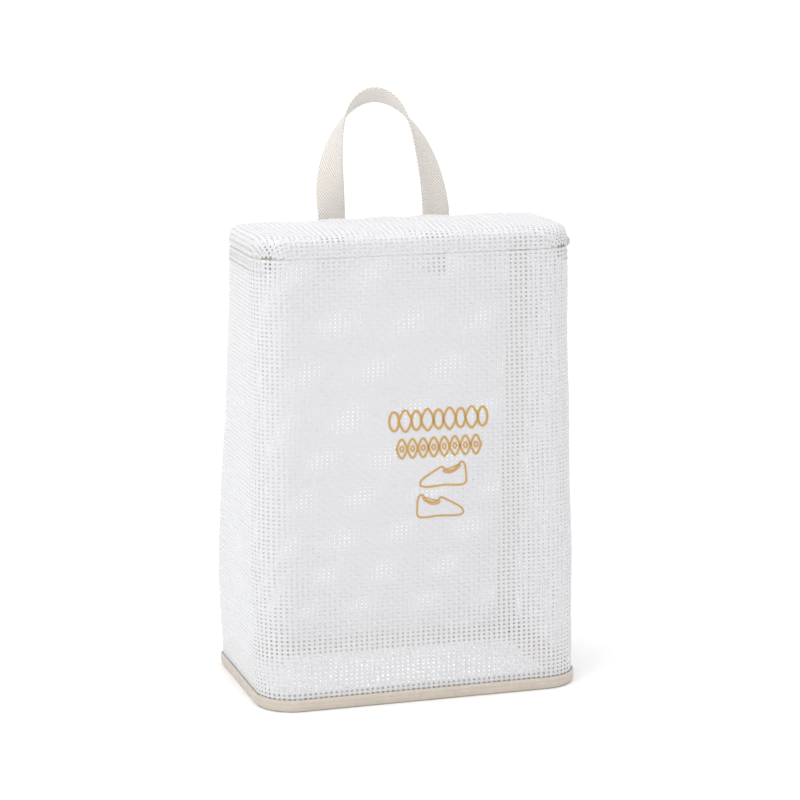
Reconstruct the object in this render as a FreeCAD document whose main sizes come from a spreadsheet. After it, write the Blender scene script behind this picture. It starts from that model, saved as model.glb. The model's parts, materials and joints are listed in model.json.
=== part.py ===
import FreeCAD, Part

import math
import os

import Sketcher

# A shoe bag of open grid fabric: a tall soft box with a zipped lid and a webbing handle.
# +X is the wearer's right when facing the front, -Y is the front, +Z is up.
# The origin is the middle of the footprint, on the surface that the bag stands on.

Vector = FreeCAD.Vector
SHEET = "Sizes"

# name, value in millimetres or degrees, what it drives
DIMENSIONS = (
    ("bag_height", 330.0, "floor to the top panel"),
    ("base_width", 234.0, "outside of the walls at the floor, left to right"),
    ("base_depth", 135.0, "outside of the walls at the floor, front to back"),
    ("top_width", 232.0, "outside of the walls at the top, left to right"),
    ("top_depth", 87.0, "outside of the walls at the top, front to back"),
    ("top_lean", 6.4, "how far the top's middle sits in front of the base's middle"),
    ("front_radius", 26.0, "vertical front corners, where the grid wraps round"),
    ("back_radius", 9.0, "vertical back corners, beside the seams"),
    ("mesh_thickness", 1.0, "coated grid fabric"),
    ("zip_drop", 15.0, "top panel down to the zipper's middle line"),
    ("lid_rounding", 9.0, "radius where the lid turns over into the walls"),
    ("hinge_gap", 0.6, "front wall to lid at the fold line"),
    ("zip_opening", 5.2, "strip left free for the zipper's coils"),
    ("coil_gap", 1.1, "between the two coils, where the slider's web runs"),
    ("coil_height", 1.6, "each coil, along Z"),
    ("coil_thickness", 2.0, "each coil, across the wall"),
    ("tape_height", 9.0, "each zipper tape below or above its coil"),
    ("tape_upper_height", 4.0, "part of the lid's tape below the rounding"),
    ("tape_thickness", 0.8, "woven zipper tape"),
    ("fabric_gap", 0.1, "air between layers that are sewn together"),
    ("tab_width", 11.0, "folded tape over each end of the zipper"),
    ("tab_height", 17.0, "folded tape over each end of the zipper"),
    ("stop_length", 2.4, "moulded stop at each end of the lower coil"),
    ("slider_length", 10.0, "slider, along the zipper"),
    ("slider_height", 8.0, "slider plates, across the zipper"),
    ("slider_plate", 1.0, "each plate of the slider"),
    ("slider_web", 0.5, "web between the coils"),
    ("slider_clearance", 0.3, "slider to coils, tape and walls"),
    ("slider_travel", 36.0, "straight run along the right side"),
    ("pin_radius", 0.6, "pin of the slider's bridge"),
    ("pin_offset", 2.3, "pin axis to the outer plate"),
    ("bridge_inner_height", 5.2, "room between the bridge's arms"),
    ("pull_length", 24.0, "pull tab from the pin axis to its tip"),
    ("pull_width", 6.0, "pull tab"),
    ("pull_thickness", 1.2, "pull tab"),
    ("rim_height", 8.5, "binding round the foot of the walls"),
    ("binding_thickness", 1.2, "folded binding tape"),
    ("seam_tape_rise", 12.0, "inner seam tape, up the wall"),
    ("seam_tape_reach", 15.0, "inner seam tape, in over the base"),
    ("back_binding_width", 10.5, "binding of each upright back seam"),
    ("base_fabric_thickness", 0.8, "skin under the base board"),
    ("base_board_thickness", 1.5, "stiff sheet inside the base"),
    ("base_lining_thickness", 0.6, "skin over the base board"),
    ("strap_width", 20.0, "handle webbing"),
    ("strap_thickness", 1.6, "handle webbing"),
    ("strap_half_span", 39.0, "bag's middle to the middle of each handle leg"),
    ("strap_offset", 0.0, "how far the handle sits to the right of the middle"),
    ("strap_sewn_length", 30.0, "webbing sewn to the back below the zipper"),
    ("strap_gap", 0.6, "webbing to the back wall and the lid"),
    ("strap_pivot_rise", 3.0, "fold line of the handle above the top panel"),
    ("strap_fold_gap", 1.7, "fold line to the sewn ends below it, so the loop can lie forward"),
    ("loop_rise", 84.0, "fold line to the highest point of the loop's middle line"),
    ("loop_skew", 8.0, "how far the loop's crown leans to the left"),
    ("loop_twist", 126.0, "turn of the webbing at the crown, degrees"),
    ("stitch_box", 15.0, "square of stitches on each sewn end"),
    ("stitch_thread", 0.6, "thickness of a line of thread"),
)

doc = FreeCAD.newDocument("shoe_bag")
sheet = doc.addObject("Spreadsheet::Sheet", SHEET)
for row, (alias, value, note) in enumerate(DIMENSIONS, start=1):
    sheet.set(f"A{row}", alias)
    sheet.set(f"B{row}", str(value))
    sheet.set(f"C{row}", note)
    sheet.setAlias(f"B{row}", alias)
doc.recompute()

sub_parts = []


def size(alias):
    """A driving dimension, read from the spreadsheet."""
    return float(sheet.get(alias))


def keep(shape, name):
    """Add a finished shape to the document as a sub-part."""
    feature = doc.addObject("Part::Feature", name)
    feature.Shape = shape
    feature.Placement = FreeCAD.Placement()
    feature.Label = name
    sub_parts.append(feature)
    return feature


# ---------------------------------------------------------------- the bag's outline

ZIP_LEVEL = size("bag_height") - size("zip_drop")
MESH = size("mesh_thickness")
GAP = size("fabric_gap")
SHARPEST = 1.0


def half_width(z):
    """Outside half width of the walls at a height. The bag narrows steadily upwards."""
    share = z / ZIP_LEVEL
    return 0.5 * (size("base_width") + share * (size("top_width") - size("base_width")))


def depth_range(z):
    """Front and back of the walls at a height. The back leans forward as it rises."""
    share = z / ZIP_LEVEL
    depth = size("base_depth") + share * (size("top_depth") - size("base_depth"))
    middle = -share * size("top_lean")
    return middle - 0.5 * depth, middle + 0.5 * depth


def outline(z, offset):
    """Rounded rectangle of the walls at a height, moved outwards by offset."""
    half = half_width(z) + offset
    front, back = depth_range(z)
    front, back = front - offset, back + offset
    front_radius = max(size("front_radius") + offset, SHARPEST)
    back_radius = max(size("back_radius") + offset, SHARPEST)
    # corner centre x, corner centre y, radius, angle where the arc starts
    corners = (
        (half - front_radius, front + front_radius, front_radius, 270.0),
        (half - back_radius, back - back_radius, back_radius, 0.0),
        (-half + back_radius, back - back_radius, back_radius, 90.0),
        (-half + front_radius, front + front_radius, front_radius, 180.0),
    )
    arcs = []
    for x, y, radius, start in corners:
        points = [
            Vector(
                x + radius * math.cos(math.radians(start + turn)),
                y + radius * math.sin(math.radians(start + turn)),
                z,
            )
            for turn in (0.0, 45.0, 90.0)
        ]
        arcs.append(points)
    edges = []
    for index, points in enumerate(arcs):
        following = arcs[(index + 1) % len(arcs)]
        edges.append(Part.Arc(*points).toShape())
        edges.append(Part.LineSegment(points[2], following[0]).toShape())
    return Part.Wire(edges)


def block(z_low, z_high, offset):
    """Solid of the bag's outline between two heights, grown outwards by offset."""
    return Part.makeLoft([outline(z_low, offset), outline(z_high, offset)], True, True)


def ring(z_low, z_high, offset_outer, offset_inner):
    """Band that follows the walls all round, between two offsets and two heights."""
    over = 1.0
    inner = block(z_low - over, z_high + over, offset_inner)
    return block(z_low, z_high, offset_outer).cut(inner)


def box(x_range, y_range, z_range):
    """Plain box between pairs of coordinates."""
    lows, highs = zip(x_range, y_range, z_range)
    lengths = [high - low for low, high in zip(lows, highs)]
    return Part.makeBox(*lengths, Vector(*lows))


def front_corner(side, z):
    """Centre of a vertical front corner at a height; side is -1 left or 1 right."""
    radius = size("front_radius")
    return Vector(side * (half_width(z) - radius), depth_range(z)[0] + radius, z)


FAR = 400.0
# The zipper ends half way round each front corner.
ZIP_FRONT = front_corner(1, ZIP_LEVEL).y - size("front_radius") * math.sin(math.radians(45.0))
BEHIND_ZIP_FRONT = (ZIP_FRONT, FAR)
ACROSS = (-FAR, FAR)


# ---------------------------------------------------------------- walls and lid

def back_field(grow):
    """The flat part of the back wall, between the two upright seams."""
    wires = []
    for z in (-5.0, ZIP_LEVEL + 5.0):
        half = half_width(z) - size("back_radius") + grow
        back = depth_range(z)[1]
        y_low, y_high = back - size("back_radius"), back + 5.0
        points = [Vector(x, y, z) for x, y in (
            (-half, y_low), (half, y_low), (half, y_high), (-half, y_high), (-half, y_low))]
        wires.append(Part.makePolygon(points))
    return Part.makeLoft(wires, True, True)


def make_walls():
    """Front and sides are one sheet; the back is a second sheet between the seams."""
    foot = size("base_fabric_thickness") + GAP
    walls = ring(foot, ZIP_LEVEL - size("hinge_gap") / 2, 0.0, -MESH)
    zip_strip = box(ACROSS, BEHIND_ZIP_FRONT, (ZIP_LEVEL - size("zip_opening") / 2, FAR))
    walls = walls.cut(zip_strip)
    keep(walls.cut(back_field(GAP / 2)), "wrap_mesh")
    keep(walls.common(back_field(-GAP / 2)), "back_mesh")


def rounded_block(z_low, z_high, offset, radius):
    """Block of the bag's outline whose top edges are rounded over."""
    solid = block(z_low, z_high, offset)
    top_edges = [
        edge for edge in solid.Edges
        if all(abs(vertex.Z - z_high) < 1e-6 for vertex in edge.Vertexes)
    ]
    return solid.makeFillet(radius, top_edges)


def make_lid():
    """Shallow cap: the top panel, its rounded edges and a short skirt above the zipper."""
    top = size("bag_height")
    low = ZIP_LEVEL + size("hinge_gap") / 2
    outer = rounded_block(low, top, 0.0, size("lid_rounding"))
    inner = rounded_block(low - 3.0, top - MESH, -MESH, size("lid_rounding") - MESH)
    zip_strip = box(ACROSS, BEHIND_ZIP_FRONT, (0.0, ZIP_LEVEL + size("zip_opening") / 2))
    keep(outer.cut(inner).cut(zip_strip), "lid_mesh")


# ---------------------------------------------------------------- base

def make_base():
    """Two skins with a stiff sheet between them, and the tapes that bind the edge."""
    fabric_top = size("base_fabric_thickness")
    keep(block(0.0, fabric_top, 0.0), "base_fabric")
    inset = -MESH - GAP
    board_low = fabric_top + GAP
    board_top = board_low + size("base_board_thickness")
    keep(block(board_low, board_top, inset), "base_board")
    lining_low = board_top + GAP
    lining_top = lining_low + size("base_lining_thickness")
    keep(block(lining_low, lining_top, inset), "base_lining")

    rim_inner = GAP
    rim_outer = GAP + size("binding_thickness")
    keep(ring(0.0, size("rim_height"), rim_outer, rim_inner), "rim_binding")

    tape = size("tape_thickness")
    tape_low = lining_top + GAP
    rise = size("seam_tape_rise")
    angle = block(tape_low, rise, inset).cut(block(tape_low + tape, rise + 1.0, inset - tape))
    middle = block(tape_low - 1.0, rise + 1.0, inset - size("seam_tape_reach"))
    keep(angle.cut(middle), "base_seam_tape")
    return tape_low + tape


def make_back_bindings(foot):
    """Binding tape of the two upright back seams, flat against the inside of the back."""
    top = ZIP_LEVEL - size("zip_opening") / 2 - size("tape_height") - 1.0
    inner_face = -MESH - GAP
    for side, name in ((-1, "back_left_binding"), (1, "back_right_binding")):
        wires = []
        for z in (foot, top):
            edge = half_width(z) - size("back_radius")
            back = depth_range(z)[1] + inner_face
            if z == foot:
                back -= size("tape_thickness") + GAP
            x_far, x_near = side * edge, side * (edge - size("back_binding_width"))
            y_low = back - size("binding_thickness")
            wires.append(Part.makePolygon([Vector(x, y, z) for x, y in (
                (x_far, y_low), (x_near, y_low), (x_near, back), (x_far, back), (x_far, y_low))]))
        keep(Part.makeLoft(wires, True, True), name)


# ---------------------------------------------------------------- zipper

def zip_band(z_low, z_high, offset_outer, offset_inner):
    """Band along the zipper's line: left side, back and right side."""
    return ring(z_low, z_high, offset_outer, offset_inner).common(
        box(ACROSS, BEHIND_ZIP_FRONT, (0.0, FAR)))


TAPE_OUTER = -MESH - GAP
TAPE_INNER = TAPE_OUTER - size("tape_thickness")
COIL_MIDDLE = 0.5 * (TAPE_OUTER + TAPE_INNER)
COIL_OUTER = COIL_MIDDLE + size("coil_thickness") / 2
COIL_INNER = COIL_MIDDLE - size("coil_thickness") / 2
COIL_NEAR = size("coil_gap") / 2
COIL_FAR = COIL_NEAR + size("coil_height")


def slider_middle():
    """Where the slider stands at rest: the front end of the right side's straight run."""
    start = front_corner(1, ZIP_LEVEL).y + size("slider_clearance")
    return start + size("slider_length") / 2


def make_zipper():
    """Tapes, coils, end stops and the folded tabs over both ends."""
    stop = size("stop_length")
    behind_stops = box(ACROSS, (ZIP_FRONT + stop + GAP, FAR), (0.0, FAR))
    at_stops = box(ACROSS, (ZIP_FRONT, ZIP_FRONT + stop), (0.0, FAR))

    low_tape = zip_band(
        ZIP_LEVEL - COIL_FAR - GAP - size("tape_height"), ZIP_LEVEL - COIL_FAR - GAP,
        TAPE_OUTER, TAPE_INNER)
    keep(low_tape, "zipper_tape_body")
    low_coil = zip_band(ZIP_LEVEL - COIL_FAR, ZIP_LEVEL - COIL_NEAR, COIL_OUTER, COIL_INNER)
    keep(low_coil.common(behind_stops), "zipper_coil_body")
    for side, name in ((-1, "zipper_stop_left"), (1, "zipper_stop_right")):
        half = box(sorted((0.0, side * FAR)), ACROSS, (0.0, FAR))
        keep(low_coil.common(at_stops).common(half), name)

    # The lid's half ends behind the slider, so that the lid lifts clear of it.
    slider_back = slider_middle() + size("slider_length") / 2 + 2 * size("slider_clearance")
    slider_zone = box((0.0, FAR), (-FAR, slider_back), (0.0, FAR))
    tape_low = ZIP_LEVEL + COIL_FAR + GAP
    high_tape = zip_band(tape_low, tape_low + size("tape_upper_height"), TAPE_OUTER, TAPE_INNER)
    keep(high_tape.cut(slider_zone), "zipper_tape_lid")
    high_coil = zip_band(ZIP_LEVEL + COIL_NEAR, ZIP_LEVEL + COIL_FAR, COIL_OUTER, COIL_INNER)
    keep(high_coil.common(behind_stops).cut(slider_zone), "zipper_coil_lid")

    tab_outer = COIL_INNER - 0.4
    tab_ring = ring(
        ZIP_LEVEL - size("tab_height") / 2, ZIP_LEVEL + size("tab_height") / 2,
        tab_outer, tab_outer - size("tape_thickness"))
    for side, name in ((-1, "zipper_tab_left"), (1, "zipper_tab_right")):
        centre = front_corner(side, ZIP_LEVEL)
        cutter = Part.makeBox(
            FAR, size("tab_width"), FAR, Vector(0.0, -size("tab_width") / 2, -FAR / 2))
        cutter.rotate(Vector(), Vector(0, 0, 1), -45.0 if side > 0 else -135.0)
        cutter.translate(centre)
        keep(tab_ring.common(cutter), name)


def named_plane(body, role):
    """One of a body's own origin planes."""
    return next(item for item in body.Origin.OriginFeatures if item.Role == role)


def sketch_on(body, role, name):
    """Empty sketch on one of a body's own origin planes."""
    sketch = body.newObject("Sketcher::SketchObject", name)
    sketch.AttachmentSupport = [(named_plane(body, role), "")]
    sketch.MapMode = "FlatFace"
    return sketch


def add_rectangle(sketch, x_low, x_high, y_low, y_high):
    """Closed rectangle in a sketch. Each side's place is an expression on the sheet."""
    first = sketch.GeometryCount
    corners = [Vector(0, 0, 0), Vector(2, 0, 0), Vector(2, 1, 0), Vector(0, 1, 0)]
    for index in range(4):
        sketch.addGeometry(Part.LineSegment(corners[index], corners[(index + 1) % 4]))
    rules = [("Coincident", first + i, 2, first + (i + 1) % 4, 1) for i in range(4)]
    rules += [("Horizontal", first), ("Vertical", first + 1)]
    rules += [("Horizontal", first + 2), ("Vertical", first + 3)]
    for rule in rules:
        sketch.addConstraint(Sketcher.Constraint(*rule))
    places = (
        ("DistanceX", first, x_low, 0.0), ("DistanceX", first + 1, x_high, 2.0),
        ("DistanceY", first, y_low, 0.0), ("DistanceY", first + 2, y_high, 1.0),
    )
    for kind, line, expression, start in places:
        index = sketch.addConstraint(Sketcher.Constraint(kind, -1, 1, line, 1, start))
        sketch.setExpression(f"Constraints[{index}]", expression)


def add_pad(body, sketch, name, length, midplane=True):
    """Pad a sketch; the length is an expression on the sheet."""
    pad = body.newObject("PartDesign::Pad", name)
    pad.Profile = sketch
    pad.Midplane = midplane
    pad.setExpression("Length", length)
    return pad


def make_slider():
    """Two plates joined by a web between the coils, with a bridge for the pull tab.

    The body's own frame: X points out of the bag from the coil's middle, Y along the
    zipper, Z up. Profiles are sketched across the zipper and padded along it.
    """
    body = doc.addObject("PartDesign::Body", "zipper_slider")
    body.Label = "zipper_slider"
    clear = f"{SHEET}.slider_clearance"
    plate = f"{SHEET}.slider_plate"
    coil = f"{SHEET}.coil_thickness / 2"
    mesh = f"{SHEET}.mesh_thickness + {SHEET}.fabric_gap + {SHEET}.tape_thickness / 2"
    half = f"{SHEET}.slider_height / 2"
    web = f"{SHEET}.slider_web / 2"
    profiles = (
        ("outer_plate", f"{mesh} + {clear}", f"{mesh} + {clear} + {plate}",
         f"-{half}", half, f"{SHEET}.slider_length"),
        ("web", f"-({coil} + {clear} + {plate} / 2)", f"{mesh} + {clear} + {plate} / 2",
         f"-{web}", web, f"{SHEET}.slider_length"),
        ("inner_plate", f"-({coil} + {clear} + {plate})", f"-({coil} + {clear})",
         f"-{half}", half, f"{SHEET}.slider_length"),
    )
    outer = f"{mesh} + {clear} + {plate}"
    pin = f"{outer} + {SHEET}.pin_offset"
    arm = f"{SHEET}.pin_radius * 2"
    room = f"{SHEET}.bridge_inner_height / 2"
    arms = (
        ("upper_arm", f"{outer} - {plate} / 2", f"{pin} + {SHEET}.pin_radius",
         room, f"{room} + {arm} / 2", arm),
        ("lower_arm", f"{outer} - {plate} / 2", f"{pin} + {SHEET}.pin_radius",
         f"-({room} + {arm} / 2)", f"-({room})", arm),
    )
    for name, x_low, x_high, z_low, z_high, length in profiles + arms:
        sketch = sketch_on(body, "XZ_Plane", f"slider_{name}_profile")
        add_rectangle(sketch, x_low, x_high, z_low, z_high)
        add_pad(body, sketch, f"slider_{name}", length)
    sketch = sketch_on(body, "XY_Plane", "slider_pin_profile")
    sketch.addGeometry(Part.Circle(Vector(4, 0, 0), Vector(0, 0, 1), 0.6))
    sketch.addConstraint(Sketcher.Constraint("PointOnObject", 0, 3, -1))
    place = sketch.addConstraint(Sketcher.Constraint("DistanceX", -1, 1, 0, 3, 4.0))
    radius = sketch.addConstraint(Sketcher.Constraint("Radius", 0, 0.6))
    sketch.setExpression(f"Constraints[{place}]", pin)
    sketch.setExpression(f"Constraints[{radius}]", f"{SHEET}.pin_radius")
    add_pad(body, sketch, "slider_pin", f"{SHEET}.bridge_inner_height + {arm} / 2")
    body.Placement = FreeCAD.Placement(slider_origin(), FreeCAD.Rotation())
    sub_parts.append(body)
    return body


def slider_origin():
    """Coil's middle on the right side, where the slider stands at rest."""
    return Vector(half_width(ZIP_LEVEL) + COIL_MIDDLE, slider_middle(), ZIP_LEVEL)


def pull_axis():
    """Point on the pull tab's pin."""
    outer = -COIL_MIDDLE + size("slider_clearance") + size("slider_plate")
    return slider_origin() + Vector(outer + size("pin_offset"), 0.0, 0.0)


def make_pull():
    """Flat tab with an eye round the pin and a small hole near its tip.

    The body's own frame: the pin is Z, and the tab lies along Y.
    """
    body = doc.addObject("PartDesign::Body", "zipper_pull")
    body.Label = "zipper_pull"
    eye = sketch_on(body, "XY_Plane", "pull_eye_profile")
    eye.addGeometry(Part.Circle(Vector(), Vector(0, 0, 1), 1.7))
    eye.addConstraint(Sketcher.Constraint("Coincident", 0, 3, -1, 1))
    radius = eye.addConstraint(Sketcher.Constraint("Radius", 0, 1.7))
    eye.setExpression(f"Constraints[{radius}]", f"{SHEET}.pin_radius + 1.1")
    add_pad(body, eye, "pull_eye", f"{SHEET}.bridge_inner_height - 1.2")

    tab = sketch_on(body, "XY_Plane", "pull_tab_profile")
    thick = f"{SHEET}.pull_thickness / 2"
    add_rectangle(tab, f"-{thick}", thick, f"{SHEET}.pin_radius + 0.7", f"{SHEET}.pull_length")
    add_pad(body, tab, "pull_neck", f"{SHEET}.bridge_inner_height - 1.2")
    blade = sketch_on(body, "XY_Plane", "pull_blade_profile")
    tip = f"{SHEET}.pull_length"
    add_rectangle(blade, f"-{thick}", thick, f"{tip} * 0.25", tip)
    add_pad(body, blade, "pull_blade", f"{SHEET}.pull_width")

    bore = sketch_on(body, "XY_Plane", "pull_bore_profile")
    bore.addGeometry(Part.Circle(Vector(), Vector(0, 0, 1), 0.9))
    bore.addConstraint(Sketcher.Constraint("Coincident", 0, 3, -1, 1))
    radius = bore.addConstraint(Sketcher.Constraint("Radius", 0, 0.9))
    bore.setExpression(f"Constraints[{radius}]", f"{SHEET}.pin_radius + {SHEET}.slider_clearance")
    hole = sketch_on(body, "YZ_Plane", "pull_hole_profile")
    hole.addGeometry(Part.Circle(Vector(20, 0, 0), Vector(0, 0, 1), 1.5))
    hole.addConstraint(Sketcher.Constraint("PointOnObject", 0, 3, -1))
    place = hole.addConstraint(Sketcher.Constraint("DistanceX", -1, 1, 0, 3, 20.0))
    hole.setExpression(f"Constraints[{place}]", f"{SHEET}.pull_length - {SHEET}.pull_width / 2")
    radius = hole.addConstraint(Sketcher.Constraint("Radius", 0, 1.5))
    hole.setExpression(f"Constraints[{radius}]", f"{SHEET}.pull_width / 4")
    for sketch, name in ((bore, "pull_bore"), (hole, "pull_hole")):
        doc.recompute()
        before = body.Shape.Volume
        pocket = body.newObject("PartDesign::Pocket", name)
        pocket.Profile = sketch
        pocket.Midplane = True
        pocket.setExpression("Length", f"{SHEET}.pull_width * 2")
        doc.recompute()
        if body.Shape.Volume >= before - 0.1:
            raise RuntimeError(f"{name} cut nothing")
    body.Placement = FreeCAD.Placement(pull_axis(), FreeCAD.Rotation())
    sub_parts.append(body)
    return body


# ---------------------------------------------------------------- handle

def strap_plane(z):
    """Front face of the sewn webbing at a height, behind the back wall and the lid."""
    return depth_range(z)[1] + size("strap_gap")


STRAP_TOP = size("bag_height") + size("strap_pivot_rise") - size("strap_fold_gap")
STRAP_FOOT = ZIP_LEVEL - size("strap_sewn_length")
PIVOT_LEVEL = size("bag_height") + size("strap_pivot_rise")
PIVOT_BACK = strap_plane(STRAP_TOP) + size("strap_thickness")


def leg_middle(side):
    """X of a handle leg's middle; side is -1 left or 1 right."""
    return size("strap_offset") + side * size("strap_half_span")


def make_strap_ends():
    """The webbing's two ends, sewn flat to the back, and their boxes of stitches."""
    stitches = []
    for side, name in ((-1, "handle_end_left"), (1, "handle_end_right")):
        x = leg_middle(side)
        x_low, x_high = x - size("strap_width") / 2, x + size("strap_width") / 2
        wires = []
        for z in (STRAP_FOOT, STRAP_TOP):
            y_low = strap_plane(z)
            y_high = y_low + size("strap_thickness")
            wires.append(Part.makePolygon([Vector(u, v, z) for u, v in (
                (x_low, y_low), (x_high, y_low), (x_high, y_high), (x_low, y_high),
                (x_low, y_low))]))
        keep(Part.makeLoft(wires, True, True), name)
        stitches.append(stitch_box(x))
    keep(Part.makeCompound(stitches), "handle_stitching")


def stitch_box(x):
    """Square of thread with a cross in it, on the rear face of one sewn end."""
    side = size("stitch_box")
    thread = size("stitch_thread")
    middle = STRAP_FOOT + 2.5 + side / 2
    lean = math.degrees(math.atan2(strap_plane(0.0) - strap_plane(ZIP_LEVEL), ZIP_LEVEL))
    bars = []
    for turn, length, shift in (
            (0.0, side, side / 2), (90.0, side, side / 2), (180.0, side, side / 2),
            (270.0, side, side / 2), (45.0, side * math.sqrt(2), 0.0),
            (135.0, side * math.sqrt(2), 0.0)):
        bar = Part.makeBox(length, thread, thread, Vector(-length / 2, 0.0, shift - thread / 2))
        bar.rotate(Vector(), Vector(0, 1, 0), turn)
        bars.append(bar)
    cross = bars[0].multiFuse(bars[1:]).removeSplitter()
    cross.rotate(Vector(), Vector(1, 0, 0), lean)
    rear = strap_plane(middle) + size("strap_thickness") + GAP
    cross.translate(Vector(x, rear, middle))
    return cross


def make_loop():
    """The free loop: webbing that rises, twists over and comes down again."""
    half = size("strap_half_span")
    width, thickness = size("strap_width"), size("strap_thickness")
    middle_y = PIVOT_BACK - thickness / 2
    steps = 20
    rise = size("loop_rise") - 1.0
    wires = []
    for step in range(steps + 1):
        turn = math.pi * step / steps
        point = Vector(
            size("strap_offset") - half * math.cos(turn) - size("loop_skew") * math.sin(turn),
            middle_y, PIVOT_LEVEL + 1.0 + rise * math.sin(turn))
        outward = Vector(-math.cos(turn) / half, 0.0, math.sin(turn) / rise).normalize()
        twist = math.radians(size("loop_twist")) * math.sin(turn)
        across = outward * math.cos(twist) + Vector(0, 1, 0) * math.sin(twist)
        normal = outward * math.sin(twist) - Vector(0, 1, 0) * math.cos(twist)
        corners = [
            point + across * (a * width / 2) + normal * (b * thickness / 2)
            for a, b in ((-1, -1), (1, -1), (1, 1), (-1, 1), (-1, -1))
        ]
        wires.append(Part.makePolygon(corners))
    keep(Part.makeLoft(wires, True, True), "handle_loop")


make_walls()
make_lid()
base_top = make_base()
make_back_bindings(base_top + GAP)
make_zipper()
make_slider()
make_pull()
make_strap_ends()
make_loop()
doc.recompute()

# ---------------------------------------------------------------- checks and files

for item in doc.Objects:
    if "Invalid" in item.State or "Error" in item.State:
        raise RuntimeError(f"{item.Label} failed: {item.State}")
os.makedirs("parts", exist_ok=True)
for item in sub_parts:
    shape = item.Shape
    if shape.isNull() or not shape.isValid() or not shape.Solids:
        raise RuntimeError(f"{item.Label} has no valid solid")
    shape.exportStep(f"parts/{item.Label}.step")
    bounds = shape.optimalBoundingBox(False)
    print(
        f"{item.Label:22s} solids {len(shape.Solids)}  volume {shape.Volume / 1000:8.2f} cm3  "
        f"x {bounds.XMin:7.1f} {bounds.XMax:7.1f}  y {bounds.YMin:7.1f} {bounds.YMax:7.1f}  "
        f"z {bounds.ZMin:7.1f} {bounds.ZMax:7.1f}"
    )
straight_end = depth_range(ZIP_LEVEL)[1] - size("back_radius")
slider_end = slider_middle() + size("slider_length") / 2 + size("slider_travel")
if slider_end > straight_end:
    raise RuntimeError("the slider would leave the straight run")
print(f"zip level {ZIP_LEVEL:.2f}, fold line of the lid y {depth_range(ZIP_LEVEL)[0]:.3f}")
print(f"handle fold line y {PIVOT_BACK:.3f} z {PIVOT_LEVEL:.2f}, pull axis {pull_axis()}")
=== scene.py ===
"""Shoe bag: the look of every piece, in metres, in the shared frame."""

import json
import math

import bmesh
import bpy
import numpy as np
from mathutils import Matrix, Vector


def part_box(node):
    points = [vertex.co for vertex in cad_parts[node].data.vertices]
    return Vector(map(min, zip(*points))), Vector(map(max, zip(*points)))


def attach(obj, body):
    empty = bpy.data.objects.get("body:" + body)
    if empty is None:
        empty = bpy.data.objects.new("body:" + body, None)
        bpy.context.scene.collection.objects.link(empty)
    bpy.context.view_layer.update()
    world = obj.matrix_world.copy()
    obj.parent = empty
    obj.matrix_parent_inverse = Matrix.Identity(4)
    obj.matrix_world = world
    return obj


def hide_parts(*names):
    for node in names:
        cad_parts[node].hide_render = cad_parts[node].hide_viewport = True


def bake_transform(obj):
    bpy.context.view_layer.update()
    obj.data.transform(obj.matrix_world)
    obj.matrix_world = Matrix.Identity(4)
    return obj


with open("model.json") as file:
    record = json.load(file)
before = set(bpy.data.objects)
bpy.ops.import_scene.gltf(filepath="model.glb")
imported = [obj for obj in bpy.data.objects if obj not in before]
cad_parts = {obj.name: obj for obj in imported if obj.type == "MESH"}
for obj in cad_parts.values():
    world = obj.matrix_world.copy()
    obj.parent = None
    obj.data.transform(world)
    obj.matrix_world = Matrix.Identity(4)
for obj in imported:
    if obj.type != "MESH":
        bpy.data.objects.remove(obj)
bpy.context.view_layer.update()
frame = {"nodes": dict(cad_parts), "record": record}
JOINTS = {joint["name"]: joint for joint in frame["record"]["behaviour"]["joints"]}
MM = 0.001

# ---------------------------------------------------------------- sizes
FOOT_LOW, FOOT_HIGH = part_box("base_fabric")
LID_LOW, LID_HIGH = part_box("lid_mesh")
FOLD_Y, FOLD_Z = JOINTS["handle_fold"]["pos_m"][1:]
ZIP_Z = JOINTS["lid_fold"]["pos_m"][2]
FRONT_RADIUS = 26 * MM
BACK_RADIUS = 9 * MM
LID_ROUNDING = 9 * MM
YARN_UP_WIDTH = 2.2 * MM
YARN_ACROSS_WIDTH = 1.6 * MM
BACK_FULLNESS = 1.2
YARN_THICKNESS = 0.28 * MM
YARN_WAVE = 0.07 * MM
MESH_LIFT = -0.5 * MM
COLUMN_PITCH = 3.75 * MM
ROW_PITCH = 2.95 * MM


def level(z):
    """Half width, front and back of the walls at height z."""
    share = z / ZIP_Z
    half = FOOT_HIGH.x + (LID_HIGH.x - FOOT_HIGH.x) * share
    front = FOOT_LOW.y + (LID_LOW.y - FOOT_LOW.y) * share
    back = FOOT_HIGH.y + (LID_HIGH.y - FOOT_HIGH.y) * share
    return half, front, back


def runs_at(z):
    """Lengths round the walls: corner, side, corner, front, corner, side, corner, back."""
    half, front, back = level(z)
    rear_arc = BACK_RADIUS * math.pi / 2
    front_arc = FRONT_RADIUS * math.pi / 2
    side = back - front - FRONT_RADIUS - BACK_RADIUS
    return np.array([rear_arc, side, front_arc, 2 * (half - FRONT_RADIUS), front_arc, side,
                     rear_arc, 2 * (half - BACK_RADIUS)])


RUNS = runs_at(0.0)
STARTS = np.concatenate([[0.0], np.cumsum(RUNS)])
AROUND = STARTS[-1]
LEFT_TAB = STARTS[2] + RUNS[2] / 2
RIGHT_TAB = STARTS[4] + RUNS[4] / 2


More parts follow.
